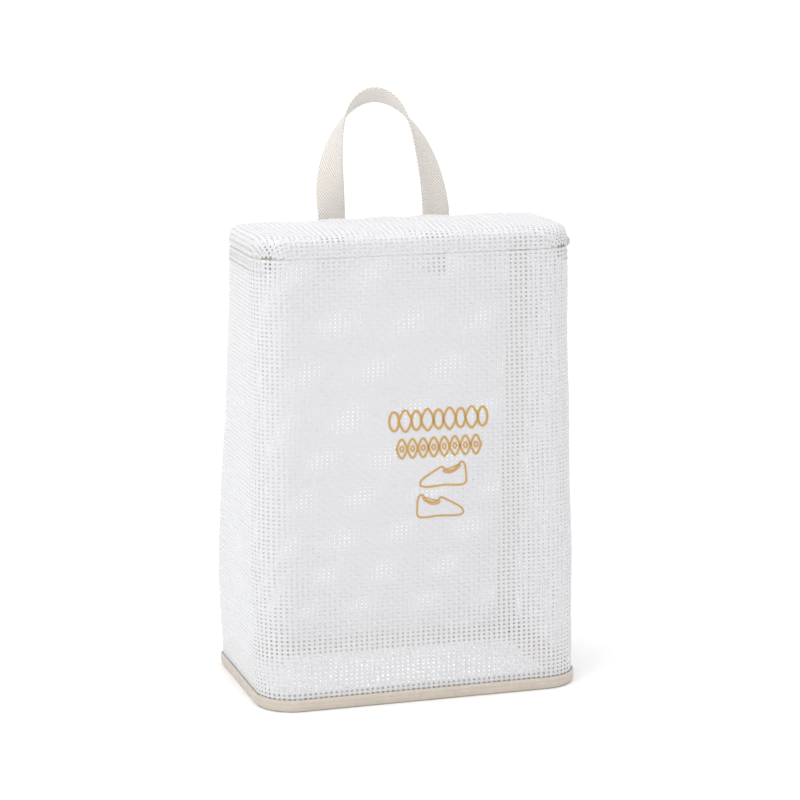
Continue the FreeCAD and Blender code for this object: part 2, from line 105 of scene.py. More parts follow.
def wall(s, z, lift):
    """Points on the walls: s round the foot from the rear left seam, height z, lift outward."""
    s, z, lift = np.broadcast_arrays(*(np.asarray(v, float) for v in (s, z, lift)))
    s = np.mod(s, AROUND)
    half, front, back = level(z)
    run = np.clip(np.searchsorted(STARTS, s, side="right") - 1, 0, 7)
    share = (s - STARTS[run]) / RUNS[run]
    rear, fore = BACK_RADIUS, FRONT_RADIUS
    corners = {0: (-half + rear, back - rear, rear, 90), 2: (-half + fore, front + fore, fore, 180),
               4: (half - fore, front + fore, fore, 270), 6: (half - rear, back - rear, rear, 0)}
    x, y = np.zeros(s.shape), np.zeros(s.shape)
    for number, (centre_x, centre_y, radius, start) in corners.items():
        here = run == number
        angle = np.radians(start + 90 * share)
        reach = np.maximum(radius + lift, 0.0)
        beyond = np.minimum(radius + lift, 0.0)
        side_x = 1 if number in (4, 6) else -1
        side_y = 1 if number in (0, 6) else -1
        x = np.where(here, centre_x + reach * np.cos(angle) + beyond * side_x, x)
        y = np.where(here, centre_y + reach * np.sin(angle) + beyond * side_y, y)
    side_span = back - front - rear - fore
    x = np.where(run == 1, -half - lift, x)
    y = np.where(run == 1, back - rear - share * side_span, y)
    x = np.where(run == 3, -half + fore + share * 2 * (half - fore), x)
    y = np.where(run == 3, front - lift, y)
    x = np.where(run == 5, half + lift, x)
    y = np.where(run == 5, front + fore + share * side_span, y)
    x = np.where(run == 7, half - rear - share * 2 * (half - rear), x)
    y = np.where(run == 7, back + lift, y)
    return np.stack([x, y, z], axis=-1)


def cloth_lengths(z):
    """Along the wrapped sheet from the front's middle: end of the flat, corner, side and rear corner."""
    half, front, back = level(z)
    flat = half - FRONT_RADIUS
    corner = flat + FRONT_RADIUS * math.pi / 2
    side = corner + back - front - FRONT_RADIUS - BACK_RADIUS
    return flat, corner, side, side + BACK_RADIUS * math.pi / 2


def cloth_place(u, z):
    """Where a point u metres along the cloth from the front's middle sits, as wall() takes it."""
    flat, corner, side, end = cloth_lengths(z)
    far = np.minimum(np.abs(u), end)
    middle = (STARTS[3] + STARTS[4]) / 2
    s = middle + far / flat * RUNS[3] / 2
    s = np.where(far > flat, STARTS[4] + (far - flat) / (corner - flat) * RUNS[4], s)
    s = np.where(far > corner, STARTS[5] + (far - corner) / (side - corner) * RUNS[5], s)
    s = np.where(far > side, STARTS[6] + (far - side) / (end - side) * RUNS[6] * 0.9999, s)
    return np.where(u < 0, 2 * middle - s, s)


def even_places(start, end, z, pitch):
    """Places round the walls an equal distance apart at one height, and how fast they run there."""
    dense = np.linspace(start, end, 4000)
    points = wall(dense, z, 0.0)
    gone = np.concatenate([[0.0], np.cumsum(np.linalg.norm(np.diff(points, axis=0), axis=1))])
    steps = np.arange(int(gone[-1] / pitch)) * pitch + pitch / 2
    places = np.interp(steps, gone, dense)
    return places, np.gradient(places) / pitch


# ---------------------------------------------------------------- softness
BULGE_LEFT = 4.9 * MM
BULGE_RIGHT = 1.3 * MM
BULGE_Z = 0.100
BULGE_SPREAD = 0.085
FRONT_BOW = 2.4 * MM
BACK_BOW = 1.2 * MM
RIPPLE = 0.35 * MM
CROWN = 2.6 * MM
CREASE = 1.0 * MM
STILL_HEIGHT = 0.035


def smooth(t):
    """Eases from 0 to 1."""
    t = np.clip(t, 0, 1)
    return t * t * (3 - 2 * t)


def soften(points):
    """Moves points of the bag's cloth: bulging sides, a bowed front, ripples and a creased top."""
    x, y, z = points[..., 0], points[..., 1], points[..., 2]
    half, front, back = level(z)
    across = np.clip(x / half, -1.1, 1.1)
    along = np.clip((2 * y - front - back) / (back - front), -1.1, 1.1)
    rise = smooth(z / STILL_HEIGHT)
    zip_calm = 1 - 0.92 * np.exp(-((z - ZIP_Z) / 0.012) ** 2) * np.clip(across, 0, 1) ** 4
    hump = np.exp(-((z - BULGE_Z) / BULGE_SPREAD) ** 2)
    arch = np.sin(np.pi * np.clip(z / ZIP_Z, 0, 1))
    width = np.clip(1 - across ** 2, 0, 1)
    push_x, push_y = across ** 7, along ** 7
    size = np.maximum(np.hypot(push_x, push_y), 1.0)
    ripple = RIPPLE * (np.sin(61 * x + 24 * z + 1.0) * np.sin(33 * z - 17 * x + 40 * y)
                       + 0.6 * np.sin(70 * z + 28 * x - 35 * y + 2.0))
    moved = points.copy()
    left = BULGE_LEFT * hump * np.clip(-across, 0, 1) ** 6 * (0.8 + 0.2 * along)
    right = BULGE_RIGHT * hump * np.clip(across, 0, 1) ** 6
    moved[..., 0] += rise * (right - left + zip_calm * ripple * push_x / size)
    bow = FRONT_BOW * arch * width * np.clip(-along, 0, 1) ** 4
    sag = BACK_BOW * arch * width * np.clip(along, 0, 1) ** 4
    moved[..., 1] += rise * (-bow - sag + zip_calm * ripple * push_y / size)
    above = np.clip((z - ZIP_Z - 1.5 * MM) / (13 * MM), 0, 1)
    dome = CROWN * np.clip(1 - across ** 2, 0, 1) * np.clip(1 - along ** 2, 0, 1)
    slant = np.sin((0.85 * x + 0.55 * y) * 150 + 2.2 * np.sin(26 * x + 9 * y))
    crease = CREASE * slant * np.clip(1 - across ** 6, 0, 1) * np.clip(1 - along ** 6, 0, 1)
    moved[..., 2] += above * (dome + crease)
    return moved


# ---------------------------------------------------------------- mesh building
def tube(sections, closed=False):
    """Skin over closed cross-sections, with a texture map in metres."""
    count, ring = sections.shape[:2]
    middles = sections.mean(axis=1)
    steps = np.linalg.norm(np.diff(middles, axis=0, append=middles[:1]), axis=1)
    length = np.concatenate([[0.0], np.cumsum(steps)])
    edges = np.linalg.norm(np.roll(sections[0], -1, axis=0) - sections[0], axis=1)
    girth = np.concatenate([[0.0], np.cumsum(edges)])
    faces, maps = [], []
    for i in range(count if closed else count - 1):
        following = (i + 1) % count
        for k in range(ring):
            turn = (k + 1) % ring
            faces.append((i * ring + k, following * ring + k, following * ring + turn, i * ring + turn))
            maps += [(length[i], girth[k]), (length[i + 1], girth[k]),
                     (length[i + 1], girth[k + 1]), (length[i], girth[k + 1])]
    if not closed:
        for i in (0, count - 1):
            faces.append(tuple(i * ring + k for k in range(ring)))
            maps += [(length[i], girth[k]) for k in range(ring)]
    return sections.reshape(-1, 3), faces, maps


def joined(parts):
    """Several (vertices, faces, map) sets as one."""
    vertices, faces, maps, start = [], [], [], 0
    for points, polygons, texture in parts:
        vertices.append(points)
        faces += [tuple(v + start for v in polygon) for polygon in polygons]
        maps += texture
        start += len(points)
    return np.concatenate(vertices), faces, maps


def piece(name, parts, material, body=None, nodes=(), soft=True, sharp=40):
    """One named object made from mesh parts, riding a body."""
    vertices, faces, maps = joined(parts)
    if soft:
        vertices = soften(vertices)
    mesh = bpy.data.meshes.new(name)
    mesh.from_pydata(vertices.tolist(), [], faces)
    if maps:
        layer = mesh.uv_layers.new(name="cloth")
        layer.data.foreach_set("uv", np.array(maps, np.float32).ravel())
    work = bmesh.new()
    work.from_mesh(mesh)
    bmesh.ops.recalc_face_normals(work, faces=work.faces)
    work.to_mesh(mesh)
    work.free()
    mesh.polygons.foreach_set("use_smooth", np.ones(len(mesh.polygons), bool))
    mesh.set_sharp_from_angle(angle=math.radians(sharp))
    return placed(name, mesh, material, body, nodes)


def placed(name, mesh, material, body, nodes):
    """Adds the mesh to the scene with its material and its body."""
    mesh.materials.append(material)
    thing = bpy.data.objects.new(name, mesh)
    bpy.context.scene.collection.objects.link(thing)
    if nodes:
        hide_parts(*nodes)
    if body:
        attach(thing, body)
    return thing


def lattice(name, surface, columns, rows, widths, kept, first, material, body, nodes, shared=()):
    """Open grid of flat yarns with real square holes, laid on a surface of (u, v).

    Columns in shared belong to the neighbouring part; only the yarns across run up to them.
    """
    own = kept.copy()
    own[list(shared)] = False
    u, v = np.meshgrid(columns, rows, indexing="ij")
    reach = 0.1 * MM
    along = surface(u + reach, v) - surface(u - reach, v)
    up = surface(u, v + reach) - surface(u, v - reach)
    normal = np.cross(along, up)
    normal /= np.maximum(np.linalg.norm(normal, axis=-1, keepdims=True), 1e-12)
    number_u = np.arange(len(columns))[:, None] + first
    number_v = np.arange(len(rows))[None, :]
    wave = np.where((number_u + number_v) % 2, YARN_WAVE, -YARN_WAVE)[..., None] * normal
    layers = []
    for side_u, side_v in ((-1, -1), (1, -1), (1, 1), (-1, 1)):
        corner = surface(u + side_u * widths[0] / 2, v + side_v * widths[1][None, :] / 2) + wave
        half = normal * YARN_THICKNESS / 2
        layers.append(np.stack([corner + half, corner - half], axis=2))
    points = np.stack(layers, axis=2)
    across_count, up_count = len(columns), len(rows)
    index = np.arange(across_count * up_count * 8).reshape(across_count, up_count, 4, 2)
    quads = []

    def slab(a, b, c, d):
        """Outer and inner face of one quad of yarn."""
        quads.append(np.stack([a[:, 0], b[:, 0], c[:, 0], d[:, 0]], axis=1))
        quads.append(np.stack([d[:, 1], c[:, 1], b[:, 1], a[:, 1]], axis=1))

    def edge(a, b):
        """Side face along the edge from a to b."""
        quads.append(np.stack([b[:, 0], a[:, 0], a[:, 1], b[:, 1]], axis=1))

    cross = index[own]
    slab(cross[:, 0], cross[:, 1], cross[:, 2], cross[:, 3])
    link_u = kept[:-1] & kept[1:]
    near, far = index[:-1][link_u], index[1:][link_u]
    slab(near[:, 1], far[:, 0], far[:, 3], near[:, 2])
    edge(near[:, 1], far[:, 0])
    edge(far[:, 3], near[:, 2])
    link_v = own[:, :-1] & own[:, 1:]
    near, far = index[:, :-1][link_v], index[:, 1:][link_v]
    slab(near[:, 3], near[:, 2], far[:, 1], far[:, 0])
    edge(near[:, 2], far[:, 1])
    edge(far[:, 0], near[:, 3])
    none_u = np.zeros((1, up_count), bool)
    none_v = np.zeros((across_count, 1), bool)
    ends = {(3, 0): np.concatenate([none_u, link_u]), (1, 2): np.concatenate([link_u, none_u]),
            (0, 1): np.concatenate([none_v, link_v], axis=1),
            (2, 3): np.concatenate([link_v, none_v], axis=1)}
    for (a, b), linked in ends.items():
        free = index[own & ~linked]
        edge(free[:, a], free[:, b])
    faces = np.concatenate(quads)
    used, compact = np.unique(faces, return_inverse=True)
    vertices = soften(points.reshape(-1, 3)[used])
    mesh = bpy.data.meshes.new(name)
    mesh.from_pydata(vertices.tolist(), [], compact.reshape(faces.shape).tolist())
    return placed(name, mesh, material, body, nodes)


STITCH_LENGTH = 2.3 * MM
STITCH_PITCH = 3.1 * MM
STITCH_RADIUS = 0.24 * MM
STITCH_RINGS = ((-0.5, 0.35, -0.9), (-0.4, 0.85, 0.0), (0.0, 1.0, 0.4), (0.4, 0.85, 0.0),
                (0.5, 0.35, -0.9))
STITCH_SIDES = 6


def unit(vectors):
    """The same directions, each of length one."""
    return vectors / np.linalg.norm(vectors, axis=-1, keepdims=True)


def stitches(centres, directions, normals):
    """Short bent bars of thread, one at each centre."""
    direction, normal = unit(directions), unit(normals)
    side = np.cross(normal, direction)
    angles = np.arange(STITCH_SIDES) * 2 * math.pi / STITCH_SIDES
    parts = []
    for middle, ahead, up, across in zip(centres, direction, normal, side):
        rings = []
        for share, swell, lift in STITCH_RINGS:
            centre = middle + ahead * share * STITCH_LENGTH + up * lift * STITCH_RADIUS
            radius = swell * STITCH_RADIUS
            rings.append([centre + radius * (math.cos(a) * across + math.sin(a) * up) for a in angles])
        parts.append(tube(np.array(rings)))
    return parts


def wall_row(start, end, z, lift, face=1):
    """Stitches round the walls at one height."""
    s, _ = even_places(start, end, z, STITCH_PITCH)
    ahead = wall(s + MM, z, lift) - wall(s - MM, z, lift)
    out = wall(s, z, lift + MM) - wall(s, z, lift - MM)
    return stitches(wall(s, z, lift), ahead, out * face)


def upright_row(s, low, high, lift, face=1):
    """Stitches up a wall."""
    z = np.linspace(low, high, int((high - low) / STITCH_PITCH))
    spot = s + np.zeros(len(z))
    ahead = wall(spot, z + MM, lift) - wall(spot, z - MM, lift)
    out = wall(spot, z, lift + MM) - wall(spot, z, lift - MM)
    return stitches(wall(spot, z, lift), ahead, out * face)


# ---------------------------------------------------------------- materials
WAVES_PER_METRE = math.pi / 10


def start_material(name, colour, roughness):
    """New node material with one colour and roughness, and the parts that the others build on."""
    material = bpy.data.materials.new(name)
    material.use_nodes = True
    nodes, links = material.node_tree.nodes, material.node_tree.links
    shader = nodes["Principled BSDF"]
    shader.inputs["Base Color"].default_value = (*colour, 1.0)
    shader.inputs["Roughness"].default_value = roughness
    return material, nodes, links, shader


def place(nodes, links, source, turn=0.0):
    """Texture position from the cloth's own map or from the object's space."""
    position = nodes.new("ShaderNodeTexCoord")
    mapping = nodes.new("ShaderNodeMapping")
    mapping.inputs["Rotation"].default_value = (0.0, 0.0, math.radians(turn))
    links.new(position.outputs[source], mapping.inputs["Vector"])
    return mapping.outputs["Vector"]


def bands(nodes, links, where, period, warp=0.0):
    """Soft stripes, one every `period` metres."""
    wave = nodes.new("ShaderNodeTexWave")
    wave.inputs["Scale"].default_value = WAVES_PER_METRE / period
    wave.inputs["Distortion"].default_value = warp
    links.new(where, wave.inputs["Vector"])
    return wave.outputs["Fac"]


def grain(nodes, links, where, scale, detail=3.0):
    """Fine random unevenness."""
    noise = nodes.new("ShaderNodeTexNoise")
    noise.inputs["Scale"].default_value = scale
    noise.inputs["Detail"].default_value = detail
    links.new(where, noise.inputs["Vector"])
    return noise.outputs["Fac"]


def combine(nodes, links, operation, first, second):
    """One sum or product of two heights, or of a height and a number."""
    math_node = nodes.new("ShaderNodeMath")
    math_node.operation = operation
    for socket, value in zip(math_node.inputs, (first, second)):
        if isinstance(value, float):
            socket.default_value = value
        else:
            links.new(value, socket)
    return math_node.outputs["Value"]


def colour_between(nodes, links, shader, height, low, high):
    """Base colour that runs from low to high with the height."""
    ramp = nodes.new("ShaderNodeValToRGB")
    ramp.color_ramp.elements[0].color = (*low, 1.0)
    ramp.color_ramp.elements[1].color = (*high, 1.0)
    ramp.color_ramp.elements[0].position = 0.2
    ramp.color_ramp.elements[1].position = 0.8
    links.new(height, ramp.inputs["Fac"])
    links.new(ramp.outputs["Color"], shader.inputs["Base Color"])


def relief(nodes, links, shader, height, depth):
    """Bumps `depth` metres deep."""
    bump = nodes.new("ShaderNodeBump")
    bump.inputs["Distance"].default_value = depth
    bump.inputs["Strength"].default_value = 1.0
    links.new(height, bump.inputs["Height"])
    links.new(bump.outputs["Normal"], shader.inputs["Normal"])


def yarn_material():
    """Coated white yarn of the open grid."""
    material, nodes, links, shader = start_material("coated_yarn", (0.695, 0.695, 0.71), 0.5)
    where = place(nodes, links, "Object")
    relief(nodes, links, shader, grain(nodes, links, where, 900.0), 0.12 * MM)
    shader.inputs["Sheen Weight"].default_value = 0.10
    shader.inputs["Specular IOR Level"].default_value = 0.4
    shader.inputs["Subsurface Weight"].default_value = 1.0
    shader.inputs["Subsurface Radius"].default_value = (1.0, 1.0, 1.0)
    shader.inputs["Subsurface Scale"].default_value = 0.4 * MM
    return material


def tape_material(name, light, dark, rib):
    """Woven tape with fine cross ribs and a little unevenness."""
    material, nodes, links, shader = start_material(name, light, 0.8)
    cloth = place(nodes, links, "UV")
    ribs = bands(nodes, links, cloth, rib, 0.6)
    mottle = grain(nodes, links, place(nodes, links, "Object"), 160.0, 4.0)
    height = combine(nodes, links, "MULTIPLY", ribs, 0.35)
    mix = combine(nodes, links, "ADD", height, combine(nodes, links, "MULTIPLY", mottle, 0.75))
    colour_between(nodes, links, shader, mix, dark, light)
    relief(nodes, links, shader, ribs, 0.10 * MM)
    shader.inputs["Sheen Weight"].default_value = 0.25
    return material


def webbing_material():
    """Twill webbing: slanted cords in two close shades."""
    material, nodes, links, shader = start_material("twill_webbing", (0.74, 0.69, 0.62), 0.8)
    slanted = place(nodes, links, "UV", 52.0)
    cords = bands(nodes, links, slanted, 1.7 * MM, 0.5)
    threads = bands(nodes, links, place(nodes, links, "UV"), 0.6 * MM, 1.0)
    height = combine(nodes, links, "ADD", combine(nodes, links, "MULTIPLY", cords, 0.7),
                     combine(nodes, links, "MULTIPLY", threads, 0.3))
    colour_between(nodes, links, shader, height, (0.66, 0.60, 0.53), (0.90, 0.875, 0.84))
    relief(nodes, links, shader, height, 0.35 * MM)
    shader.inputs["Sheen Weight"].default_value = 0.3
    return material


def weave_material(name, light, dark, period):
    """Plain weave for the base panels."""
    material, nodes, links, shader = start_material(name, light, 0.7)
    first = bands(nodes, links, place(nodes, links, "UV"), period)
    second = bands(nodes, links, place(nodes, links, "UV", 90.0), period)
    height = combine(nodes, links, "MULTIPLY", first, second)
    mottle = combine(nodes, links, "MULTIPLY", grain(nodes, links, place(nodes, links, "UV"), 45.0), 0.8)
    mix = combine(nodes, links, "ADD", mottle, combine(nodes, links, "MULTIPLY", height, 0.3))
    colour_between(nodes, links, shader, mix, dark, light)
    relief(nodes, links, shader, height, 0.12 * MM)
    return material


def plain_material(name, light, dark, roughness, scale, depth, coat=0.0):
    """Hard or glossy finish with fine unevenness."""
    material, nodes, links, shader = start_material(name, light, roughness)
    uneven = grain(nodes, links, place(nodes, links, "Object"), scale, 5.0)
    colour_between(nodes, links, shader, uneven, dark, light)
    relief(nodes, links, shader, uneven, depth)
    shader.inputs["Coat Weight"].default_value = coat
    return material


YARN = yarn_material()
BINDING = tape_material("ribbed_binding", (0.66, 0.595, 0.515), (0.54, 0.475, 0.40), 0.9 * MM)
ZIP_TAPE = tape_material("zipper_tape_weave", (0.88, 0.88, 0.87), (0.80, 0.80, 0.79), 0.7 * MM)
WEBBING = webbing_material()
BASE_CLOTH = weave_material("base_weave", (0.94, 0.94, 0.95), (0.89, 0.89, 0.90), 0.8 * MM)
BOARD = plain_material("base_board_sheet", (0.80, 0.80, 0.79), (0.70, 0.70, 0.69), 0.6, 220.0, 0.05 * MM)
NYLON = plain_material("nylon_coil", (0.88, 0.88, 0.87), (0.78, 0.78, 0.76), 0.3, 700.0, 0.04 * MM, 0.3)
ENAMEL = plain_material("cream_enamel", (0.72, 0.65, 0.55), (0.58, 0.51, 0.42), 0.28, 420.0, 0.03 * MM, 0.5)
THREAD = plain_material("sewing_thread", (0.80, 0.76, 0.68), (0.60, 0.55, 0.47), 0.65, 2600.0, 0.08 * MM)
INK = plain_material("gold_ink", (0.62, 0.38, 0.12), (0.50, 0.29, 0.08), 0.4, 900.0, 0.04 * MM)

# ---------------------------------------------------------------- grid panels
COLUMN_END = cloth_lengths(0.0)[3]
COLUMN_COUNT = math.ceil(COLUMN_END / COLUMN_PITCH)
FRONT_COUNT = round(cloth_lengths(0.0)[1] / COLUMN_PITCH)
COLUMNS = np.arange(-COLUMN_COUNT, COLUMN_COUNT + 1) * COLUMN_PITCH
LOWEST_ROW = 1.4 * MM
HIGHEST_ROW = ZIP_Z - 1.6 * MM
FOLD_ROW = ZIP_Z - 0.33 * MM
FOLD_ROW_WIDTH = 0.02 * MM
ROWS = np.linspace(LOWEST_ROW, HIGHEST_ROW, round((HIGHEST_ROW - LOWEST_ROW) / ROW_PITCH) + 1)
ROWS = np.append(ROWS, FOLD_ROW)
ROW_WIDTHS = np.append(np.full(len(ROWS) - 1, YARN_ACROSS_WIDTH), FOLD_ROW_WIDTH)
MESH_TOP = ZIP_Z - 3.2 * MM
COVER_TOP = ZIP_Z - 1.2 * MM
FOLD_REACH = 0.65


def make_walls():
    """The sheet that wraps the sides and the front, in three parts, and the back.

    The sheet stops below the zipper, except at the front, where it goes on into the lid.
    """
    middle = COLUMN_COUNT
    spans = {"wrap_left": (0, middle - FRONT_COUNT, (-1,)),
             "wrap_right": (middle + FRONT_COUNT, 2 * middle, (0,)),
             "wrap_front": (middle - FRONT_COUNT, middle + FRONT_COUNT, ())}
    widths = (YARN_UP_WIDTH, ROW_WIDTHS)
    for name, (low, high, shared) in spans.items():
        columns = COLUMNS[low:high + 1]
        u, z = np.meshgrid(columns, ROWS, indexing="ij")
        flat, corner, _, end = cloth_lengths(z)
        at_fold = np.abs(u) < flat + FOLD_REACH * (corner - flat)
        below_zipper = z < np.where(u < 0, COVER_TOP, MESH_TOP)
        kept = (np.abs(u) < end) & (below_zipper | at_fold)
        lattice(name, lambda a, b: wall(cloth_place(a, b), b, MESH_LIFT), columns, ROWS, widths, kept,
                low, YARN, "bag", ("wrap_mesh",), shared)
    count = round(RUNS[7] / COLUMN_PITCH)
    columns = np.linspace(STARTS[7] + 0.2 * MM, STARTS[8] - 0.2 * MM, count + 1)
    kept = np.broadcast_to(ROWS < MESH_TOP, (count + 1, len(ROWS)))
    fuller = (YARN_UP_WIDTH * BACK_FULLNESS, ROW_WIDTHS * BACK_FULLNESS)
    lattice("back_panel", lambda a, b: wall(a, b, MESH_LIFT), columns, ROWS, fuller, kept, 0, YARN,
            "bag", ("back_mesh",))


ARC = LID_ROUNDING * math.pi / 2
SHOULDER_Z = LID_HIGH.z - LID_ROUNDING
ZIP_GAP = 1.9 * MM
FOLD_GAP = 0.4 * MM
FOLD_FACING = -0.52
FIRST_ROW_GAP = 1.1 * MM
LID_DEPTH = 0.5 * MM
SKIRT = SHOULDER_Z - ZIP_Z - ZIP_GAP
HINGE_SKIRT = SHOULDER_Z - ZIP_Z - FOLD_GAP


def lid_parts(x, y):
    """Radius of the nearest corner, distance and direction from the flat middle of the lid."""
    half, front, back = level(ZIP_Z)
    radius = np.where(y < (front + back) / 2, FRONT_RADIUS, BACK_RADIUS)
    inner_x = np.clip(x, -half + radius, half - radius)
    inner_y = np.clip(y, front + radius, back - radius)
    away_x, away_y = x - inner_x, y - inner_y
    distance = np.hypot(away_x, away_y)
    safe = np.maximum(distance, 1e-9)
    return radius, inner_x, inner_y, distance, away_x / safe, away_y / safe


def lid_limit(x, y):
    """Furthest the cloth reaches from the flat middle before it meets the zipper or the fold."""
    radius, _, _, _, toward_x, toward_y = lid_parts(x, y)
    at_fold = toward_y < FOLD_FACING
    return radius - LID_ROUNDING + ARC + np.where(at_fold, HINGE_SKIRT, SKIRT)


def lid_surface(x, y):
    """The lid's cloth: flat, rounded over the rim, then a short skirt."""
    radius, inner_x, inner_y, distance, toward_x, toward_y = lid_parts(x, y)
    distance = np.minimum(distance, lid_limit(x, y))
    past = distance - (radius - LID_ROUNDING)
    turn = np.clip(past / LID_ROUNDING, 0, math.pi / 2)
    plan = np.where(past > 0, radius - LID_ROUNDING + (LID_ROUNDING - LID_DEPTH) * np.sin(turn), distance)
    drop = np.maximum(past - ARC, 0)
    z = SHOULDER_Z + (LID_ROUNDING - LID_DEPTH) * np.cos(turn) - drop
    return np.stack([inner_x + toward_x * plan, inner_y + toward_y * plan, z], axis=-1)


def make_lid():
    """The lid's sheet; its front edge reaches down to the fold."""
    half, front, back = level(ZIP_Z)
    reach = math.floor((half - BACK_RADIUS + ARC + SKIRT) / COLUMN_PITCH)
    columns = np.arange(-reach, reach + 1) * COLUMN_PITCH
    lowest = front + LID_ROUNDING - ARC - HINGE_SKIRT
    highest = back - LID_ROUNDING + ARC + SKIRT
    first_row = lowest + FIRST_ROW_GAP
    row_count = round((highest - first_row) / ROW_PITCH) + 1
    rows = np.linspace(first_row, highest - YARN_ACROSS_WIDTH / 2, row_count)
    rows = np.insert(rows, 0, lowest + FOLD_ROW_WIDTH)
    row_widths = np.insert(np.full(len(rows) - 1, YARN_ACROSS_WIDTH), 0, FOLD_ROW_WIDTH)
    x, y = np.meshgrid(columns, rows, indexing="ij")
    kept = lid_parts(x, y)[3] < lid_limit(x, y)
    lid = lattice("lid_panel", lid_surface, columns, rows, (YARN_UP_WIDTH, row_widths), kept,
                  0, YARN, None, ("lid_mesh",))
    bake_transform(lid)


# ---------------------------------------------------------------- tapes
def band(s, profile, closed=False, base=0.0):
    """Closed (lift, z) cross-section in millimetres above base carried round the walls."""
    lift, z = np.array(profile).T * MM
    return tube(wall(s[:, None], base + z[None, :], lift[None, :]), closed)


def upright(z, profile):
    """Closed (s, lift) cross-section carried up a wall; s in metres, lift in millimetres."""
    s, lift = np.array(profile).T
    return tube(wall(s[None, :], z[:, None], lift[None, :] * MM))


RIM_PROFILE = ((-1.6, 0.1), (-0.6, 0.02), (0.1, 0.4), (0.75, 1.5), (1.25, 2.9), (1.5, 4.2), (1.15, 4.7),
               (1.35, 5.5), (1.3, 7.3), (1.05, 8.2), (0.6, 8.5), (0.15, 8.3), (0.1, 4.0))
SEAM_PROFILE = ((-1.15, 3.3), (-1.15, 11.8), (-1.5, 12.1), (-1.9, 11.7), (-2.0, 8.0), (-2.4, 4.9),
                (-4.2, 4.3), (-14.4, 4.15), (-15.0, 3.9), (-15.0, 3.35), (-9.0, 3.3))


def make_foot_tapes():
    """Binding round the foot and the folded tape over the inside seam."""
    around = np.linspace(0.0, AROUND, 300, endpoint=False)
    piece("rim_tape", [band(around, RIM_PROFILE, True)], BINDING, "bag",
          ("rim_binding",))
    piece("rim_thread", wall_row(0.0, AROUND, 6.9 * MM, 1.34 * MM), THREAD, "bag")
    piece("seam_tape", [band(around, SEAM_PROFILE, True)], BINDING, "bag",
          ("base_seam_tape",))
    piece("seam_thread", wall_row(0.0, AROUND, 10.2 * MM, -2.0 * MM, -1), THREAD, "bag")


STRIP_WIDTH = 10.5 * MM
STRIP_OUTER = -1.0
STRIP_EDGE = -1.6
STRIP_INNER = -1.75


def make_back_bindings():
    """Flat strips inside the upright seams, from the corners onto the back, with rows of thread."""
    z = np.linspace(4.4 * MM, ZIP_Z - 3.0 * MM, 60)
    for name, edge, way in (("right", STARTS[7], 1), ("left", STARTS[8], -1)):
        spots = [edge + way * t for t in (-4.2 * MM, -2.1 * MM, 0.1 * STRIP_WIDTH, 0.55 * STRIP_WIDTH,
                                          STRIP_WIDTH)]
        profile = [(s, STRIP_OUTER) for s in spots] + [(spots[4], STRIP_EDGE)]
        profile += [(s, STRIP_INNER) for s in spots[3:0:-1]] + [(spots[0], STRIP_EDGE)]
        piece(f"back_strip_{name}", [upright(z, profile)], BINDING, "bag",
              (f"back_{name}_binding",))
        rows = []
        for inset in (1.8 * MM, STRIP_WIDTH - 1.8 * MM):
            spot = edge + way * inset
            rows += upright_row(spot, 6 * MM, ZIP_Z - 5 * MM, STRIP_INNER * MM, -1)
            rows += upright_row(spot, 6 * MM, ZIP_Z - 14 * MM, -0.12 * MM)
        piece(f"back_thread_{name}", rows, THREAD, "bag")


def make_lid_strips():
    """Ends of the same strips above the zipper, inside the lid's rear edge."""
    half, front, back = level(ZIP_Z)
    furthest = back - BACK_RADIUS + ARC + SKIRT
    y = np.linspace(furthest - 0.5 * MM, back - 12 * MM, 24)
    for name, side in (("right", 1), ("left", -1)):
        rings = []
        for spot in y:
            near, far = side * (half - BACK_RADIUS - 0.5 * MM), side * (half - BACK_RADIUS - 11 * MM)
            x = np.array([near, (near + far) / 2, far])
            top = lid_surface(x, np.full(3, spot))
            step = 0.1 * MM
            ahead = lid_surface(x, np.full(3, spot + step)) - lid_surface(x, np.full(3, spot - step))
            normal = np.cross(np.array([1.0, 0.0, 0.0]), ahead)
            normal /= np.linalg.norm(normal, axis=1, keepdims=True)
            rings.append(np.concatenate([top - normal * 0.4 * MM, (top - normal * 1.2 * MM)[::-1]]))
        piece(f"lid_strip_{name}", [tube(np.array(rings))], BINDING, "lid")


ZIP_START = RIGHT_TAB + 0.5 * MM
ZIP_END = AROUND + LEFT_TAB - 0.5 * MM
TEETH_PITCH = 1.55 * MM
COIL_LIFT = -1.5 * MM
COIL_REACH = 2.1 * MM
ZIP_THREAD_LIFT = -0.18 * MM


def teeth(level_z, way, shift, start, end):
    """Row of nylon loops; each is a short rounded bar with a thicker head at the middle line."""
    parts = []
    places, rates = even_places(start, end, ZIP_Z, TEETH_PITCH)
    shape = ((0.0, 0.30, 0.55), (0.25, 0.36, 0.75), (1.1, 0.36, 0.80), (1.45, 0.46, 0.78), (1.7, 0.36, 0.5))
    angles = np.arange(8) * math.pi / 4
    for place_now, rate in zip(places, rates):
        s = place_now + shift * TEETH_PITCH * rate
        rings = []
        for rise, half_wide, half_deep in shape:
            z = level_z + way * rise * MM
            rings.append(wall(s + rate * half_wide * MM * np.cos(angles), z + np.zeros(8),
                              COIL_LIFT + half_deep * MM * np.sin(angles)))
        parts.append(tube(np.array(rings)))
    return parts


